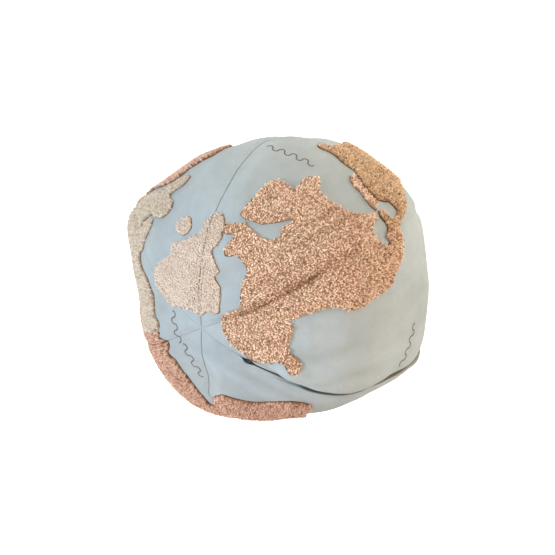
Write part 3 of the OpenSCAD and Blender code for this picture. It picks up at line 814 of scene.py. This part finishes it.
def pile_mat(patch, material, mat_h, foot_tint):
    """The CAD patch laid on the canvas, cut down to the foot of the loops and trenched at seams."""
    mesh = patch_mesh(patch)
    placed = np.array([vertex.co[:] for vertex in mesh.verts])
    r = np.linalg.norm(placed - CENTRE, axis=1)
    d = (placed - CENTRE) / r[:, None]
    share = np.clip((r - BALL_R) / PILE_H, 0, 1)
    lon, lat = lon_lat(d)
    trench = np.max([
        trench_share(seam, lat) * (1 - ramp(np.abs(east_of(seam, lon, lat)), 0.6 * MM, SEAM_TRENCH))
        for seam in range(GORES)], axis=0)
    above = share * (mat_h + 0.3 * MM * wander(placed, 9 * MM, 8)) * (1 - 0.8 * trench)
    # The side's foot flares past the coast; below, it is painted dark as the pile's shadow
    flared = placed + coast_ways(mesh, d) * (COAST_SHADOW_FLARE * (1 - share))[:, None]
    laid = on_skin(unit(flared - CENTRE), above)
    for vertex, place in zip(mesh.verts, laid.tolist()):
        vertex.co = place
    bmesh.ops.recalc_face_normals(mesh, faces=mesh.faces)
    data = bpy.data.meshes.new(f"{patch}_mat")
    mesh.to_mesh(data)
    mesh.free()
    piece = into_scene(bpy.data.objects.new(f"{patch}_mat", data))
    # Painted shade: dark at the foot of the patch's side and its flare, in the seams' trenches and in
    # creases
    tints = foot_tint * (0.1 + 0.9 * share) * (1 - 0.4 * trench) * crease_shade(lon, lat)
    tint_points(piece, tints, PILE_SHADE)
    piece.data.materials.append(material)
    return piece


def pile_loops(patch, d, material, depth, seed):
    """Yarn loops that stand on the mat, each a leaning arch with its own size and heading."""
    rng = np.random.default_rng(seed)
    count = len(d)
    east, north = level_axes(d)
    heading = rng.uniform(0, 2 * math.pi, count)
    along = east * np.cos(heading)[:, None] + north * np.sin(heading)[:, None]
    across = np.cross(d, along)
    half_span = rng.uniform(*HALF_SPANS, count) * MM
    height = rng.uniform(*LOOP_HEIGHTS, count) * MM
    lean = rng.uniform(-LEAN, LEAN, count)
    curl = rng.uniform(-CURL, CURL, count) * MM
    turn = np.linspace(-LOOP_TUCK, math.pi + LOOP_TUCK, LOOP_STEPS)
    foot = skin_radius(d) + LOOP_ROOT
    run = half_span[:, None] * np.cos(turn)
    rise = height[:, None] * np.sin(turn)
    sway = lean[:, None] * rise + curl[:, None] * np.sin(2 * turn)
    centre = CENTRE + d * foot[:, None]
    paths = (centre[:, None] + along[:, None] * run[..., None] + across[:, None] * sway[..., None]
             + d[:, None] * rise[..., None])
    thick = YARN_R * rng.uniform(0.85, 1.15, (count, 1))
    thick = thick * (1 + 0.1 * rng.normal(size=(count, LOOP_STEPS)))
    piece = tubes(f"{patch}_loops", paths, across, thick, LOOP_SIDES)
    # Each loop's brightness differs at random and takes the crease's painted shade; painted shade
    # darkens each loop towards its roots, between the loops
    shade = rng.normal(1.07, 0.27 * depth, count) * crease_shade(*lon_lat(d))
    root_shade = 1 - depth * (0.5 - 0.5 * np.sin(np.clip(turn, 0, math.pi)))
    tints = np.clip(shade[:, None] * root_shade, 0.3, 1.3)
    tint_points(piece, np.repeat(tints[:, :, None], LOOP_SIDES, 2).ravel(), PILE_SHADE)
    piece.data.materials.append(material)
    return piece


def tuft_the_land():
    """Every patch of pile: each place for a loop goes to the first patch whose outline holds it."""
    everywhere = rows_of_loops()
    # Loops near a coast may stand a little inside or outside it, but none in the pull tab's way
    rng = np.random.default_rng(PILE_SEED)
    strayed = everywhere + rng.normal(size=everywhere.shape) * LOOP_STRAY / BALL_R
    taken = np.abs(east_of(0, *lon_lat(everywhere))) < TAB_ROOM + TAB_CLEARANCE
    origin = Vector(CENTRE)
    number = 0
    for family, patches in PATCHES.items():
        mat_h, depth = PILE_LOOKS.get(family, PLAIN_PILE)
        for patch in patches:
            points, faces = cad_mesh(f"{patch}_pile")
            tree = BVHTree.FromPolygons(points.tolist(), faces)
            middle = unit(points.mean(0) - CENTRE)
            spread = unit(points - CENTRE) @ middle
            near = np.flatnonzero((everywhere @ middle >= spread.min() - 0.002) & ~taken)
            hits = [i for i in near if tree.ray_cast(origin, Vector(strayed[i]))[0] is not None]
            taken[hits] = True
            number += 1
            # The mat between the loops is painted darker, as shade in the pits
            mat = pile_mat(patch, PILES[family], mat_h, 1 - 0.5 * depth)
            loops = pile_loops(patch, everywhere[hits], PILES[family], depth, PILE_SEED + number)
            for piece in (mat, loops):
                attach(piece, "cover")
                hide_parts(f"{patch}_pile")


# ---- the stitched waves --------------------------------------------------------------------------

SCALLOP_R = 4.2 * MM
BAND = 1.9 * MM                         # width of the satin stitch
STITCH_PITCH = 0.5 * MM
THREAD_R = 0.3 * MM
# Across one stitch: share of the band's width, height above the canvas in mm
SATIN_SECTION = ((-0.5, -0.35), (-0.3, 0.25), (0.0, 0.45), (0.3, 0.25), (0.5, -0.35))
WAVES = {                               # longitude, latitude, heading, scallops
    "arctic": [(66, 78.3, 4, 5), (127, 74.8, -45, 6)],
    "atlantic": [(-47.5, 12.4, 6, 8), (-22, -18, 0, 8)],
    "pacific": [(-142.5, -1.5, -20, 7), (180, -6, 0, 8)],
    "indian": [(72, -22, 0, 8)],
}


def wave_line(heading, scallops):
    """Offsets east and north of the wave's middle, along scallops that turn up and down by turns."""
    per_scallop = int(math.pi * SCALLOP_R / STITCH_PITCH)
    i, k = np.meshgrid(np.arange(scallops), (np.arange(per_scallop) + 0.5) / per_scallop, indexing="ij")
    angle = math.pi * k
    x = (i - (scallops - 1) / 2) * 2 * SCALLOP_R - SCALLOP_R * np.cos(angle)
    y = SCALLOP_R * np.sin(angle) * np.where(i % 2 == 0, 1, -1)
    x, y = x.ravel(), y.ravel()
    turn = math.radians(heading)
    return x * math.cos(turn) - y * math.sin(turn), x * math.sin(turn) + y * math.cos(turn)


def satin_wave(ocean):
    """The waves of one ocean, in slanting stitches that arch over the band from edge to edge."""
    paths = []
    for lon, lat, heading, scallops in WAVES[ocean]:
        east_off, north_off = wave_line(heading, scallops)
        up = directions(lon, lat)
        east, north = level_axes(up)
        step = unit(np.stack([np.gradient(east_off), np.gradient(north_off)], -1))
        slant = unit(np.stack([-step[:, 1] + 0.35 * step[:, 0], step[:, 0] + 0.35 * step[:, 1]], -1))
        stitches = []
        for share, lift in SATIN_SECTION:
            e = (east_off + slant[:, 0] * share * BAND) / BALL_R
            n = (north_off + slant[:, 1] * share * BAND) / BALL_R
            d = unit(up + east * e[:, None] + north * n[:, None])
            stitches.append(on_skin(d, lift * MM))
        paths.append(np.stack(stitches, 1))
    paths = np.concatenate(paths)
    ups = unit(paths[:, 2] - CENTRE)
    piece = tubes(f"{ocean}_waves", paths, ups, THREAD_R, sides=5)
    piece.data.materials.append(THREAD)
    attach(piece, "cover")
    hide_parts(f"{ocean}_wave_stitching")


# ---- the inner cushion ---------------------------------------------------------------------------

INNER_ROWS = 120
INNER_COLUMNS = 26
CASE_SLACK = 0.45 * MM                  # depth of the inner cushion's soft wrinkles
ZIP_DEPTH = 7.2 * MM                    # the room that the zip takes behind the round ball
ZIP_CHANNEL = (17 * MM, 26 * MM)        # that room's walls: distances from the seam


def inner_gore(number, name, depth, material, node):
    """A gore of the loose inner cushion, which gives way behind the zip."""
    lat = 90 - 180 * np.arange(INNER_ROWS + 1) / INNER_ROWS
    low = ZIP_LON + GORE_DEG * (number - 1)
    lon = low + GORE_DEG * np.arange(INNER_COLUMNS + 1) / INNER_COLUMNS
    lon, lat = np.meshgrid(lon, lat)
    d = directions(lon, lat)
    r = skin_radius(d) - depth - CASE_SLACK * wander(d * BALL_R, 0.05, 20 + number) ** 2
    south, north = SLIT_LATS
    behind = (1 - ramp(np.abs(east_of(0, lon, lat)), *ZIP_CHANNEL)) * ramp(lat, south - 9, south - 3)
    behind = behind * (1 - ramp(lat, north + 2, north + 6))
    channel = BALL_R - ZIP_DEPTH - depth
    r = r * (1 - behind) + np.minimum(r, channel) * behind
    points = CENTRE + d * r[..., None]
    points[..., 2] = np.maximum(points[..., 2], depth)
    piece = mesh_object(name, points, grid_quads(*points.shape[:2]))
    lay_uv(piece, points, number)
    piece.data.materials.append(material)
    weld(piece)
    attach(piece, "cover")
    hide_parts(node)


# ---- the zip -------------------------------------------------------------------------------------

def finish_zip():
    """Materials for the zip's parts, which are the CAD's own meshes."""
    looks = {
        TAPE: ["zip_tape_left", "zip_tape_right", "zip_guard_strip"],
        COIL: ["zip_coil_left", "zip_coil_right"],
        NICKEL: ["zip_slider", "zip_pull_tab", "zip_top_stop", "zip_bottom_stop"],
    }
    for material, nodes in looks.items():
        for node in nodes:
            data = frame["nodes"][node].data
            data.materials.clear()
            data.materials.append(material)


# ---- the studio ----------------------------------------------------------------------------------

VIEW_LON, VIEW_LAT = -86.0, 55.0        # the point of the ball that faces the camera
VIEW_DISTANCE = 2.07
VIEW_ROLL = 213.5                       # where north points in the picture, anticlockwise from right
LENS, SENSOR = 101.0, 36                # mm
LAMP_DISTANCE = 2.4


def view_axes():
    """The picture's right and up, and the way from the ball to the camera."""
    back = directions(VIEW_LON, VIEW_LAT)
    east, north = level_axes(back)
    roll = math.radians(VIEW_ROLL)
    right = math.cos(roll) * north + math.sin(roll) * east
    up = math.sin(roll) * north - math.cos(roll) * east
    return right, up, back


def add_camera():
    right, up, back = view_axes()
    camera = into_scene(bpy.data.objects.new("camera", bpy.data.cameras.new("camera")))
    camera.data.lens = LENS
    camera.data.sensor_width = SENSOR
    place = CENTRE + back * VIEW_DISTANCE
    camera.matrix_world = Matrix((*zip(right, up, back, place), (0, 0, 0, 1)))
    camera.data.clip_start, camera.data.clip_end = 0.05, 60
    bpy.context.scene.camera = camera


def add_lamp(name, way, size, power, colour):
    """A round lamp that looks at the ball from the given way."""
    light = bpy.data.lights.new(name, "AREA")
    light.shape = "DISK"
    light.size, light.energy, light.color = size, power, colour
    lamp = into_scene(bpy.data.objects.new(name, light))
    way = Vector(way).normalized()
    lamp.location = Vector(CENTRE) + way * LAMP_DISTANCE
    lamp.rotation_mode = "QUATERNION"
    lamp.rotation_quaternion = way.to_track_quat("Z", "Y")


def add_studio():
    right, up, back = view_axes()
    add_lamp("key_lamp", 0.85 * back - 0.85 * right - 0.08 * up, 0.6, 40, (0.68, 0.86, 1.0))
    add_lamp("fill_lamp", 0.4 * back + 0.87 * right + 0.32 * up, 1.6, 35, (1.0, 0.57, 0.05))
    add_lamp("low_lamp", 0.7 * back - 0.3 * right - 0.9 * up, 1.8, 17, (0.95, 0.88, 0.86))
    add_lamp("front_lamp", back + 0.1 * up, 1.4, 13, (0.66, 0.84, 1.0))
    world = bpy.data.worlds.new("studio")
    bpy.context.scene.world = world
    world.use_nodes = True
    sky = world.node_tree.nodes["Background"]
    sky.inputs["Color"].default_value = (1.0, 0.78, 0.54, 1)
    sky.inputs["Strength"].default_value = 0.31
    floor = mesh_object("floor", [(-6, -6, 0), (6, -6, 0), (6, 6, 0), (-6, 6, 0)], [(0, 1, 2, 3)])
    floor.location.z = -0.4 * MM
    floor.data.materials.append(lit_floor("white_sweep", srgb(250, 250, 250)))
    bpy.context.scene.view_settings.view_transform = "Standard"


# ---- making --------------------------------------------------------------------------------------

add_camera()
for gore in range(1, GORES + 1):
    canvas_gore(gore)
    inner_gore(gore, f"calico_gore_{gore}", 4.5 * MM, CALICO, f"inner_case_gore_{gore}")
    inner_gore(gore, f"fibre_lobe_{gore}", 6.5 * MM, FIBRE, "fibre_filling")
tuft_the_land()
for ocean in WAVES:
    satin_wave(ocean)
finish_zip()
add_studio()
